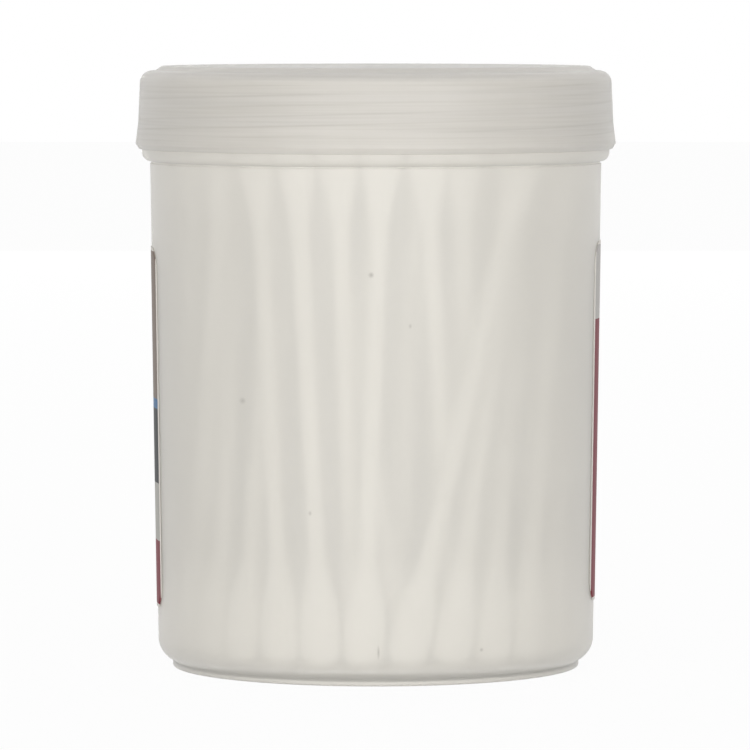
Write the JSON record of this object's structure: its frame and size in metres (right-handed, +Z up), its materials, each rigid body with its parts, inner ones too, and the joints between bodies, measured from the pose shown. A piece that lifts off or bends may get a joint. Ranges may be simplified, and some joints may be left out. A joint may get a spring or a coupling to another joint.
{
  "type": "cotton swab tub",
  "caption": "Round frosted plastic tub of cotton swabs with a screw cap and a wrap-round paper label, standing on a foot ring.",
  "frame": {"origin": "centre of the foot ring, on the surface that the tub stands on", "axes": "+Z up along the tub's axis, +Y towards the middle of the label, +X to the right as the picture's camera sees the tub"},
  "size_m": [0.0648, 0.0648, 0.0811],
  "materials": {
    "tub_plastic": "frosted translucent polypropylene",
    "cap_plastic": "satin natural polypropylene",
    "label_paper": "printed, coated",
    "stick_paper": "rolled, uncoated",
    "cotton": "wound cotton fibre"
  },
  "bodies": {
    "tub_body": {"tub": "tub_plastic", "back_label": "label_paper", "swab_sticks": "stick_paper", "lower_cotton_tips": "cotton", "upper_cotton_tips": "cotton"},
    "cap_body": {"screw_cap": "cap_plastic"}
  },
  "joints": [
    {"name": "cap_lift", "type": "slide", "parent": "tub_body", "child": "cap_body", "axis": [0, 0, 1], "range_m": [0, 0.03]}
  ]
}
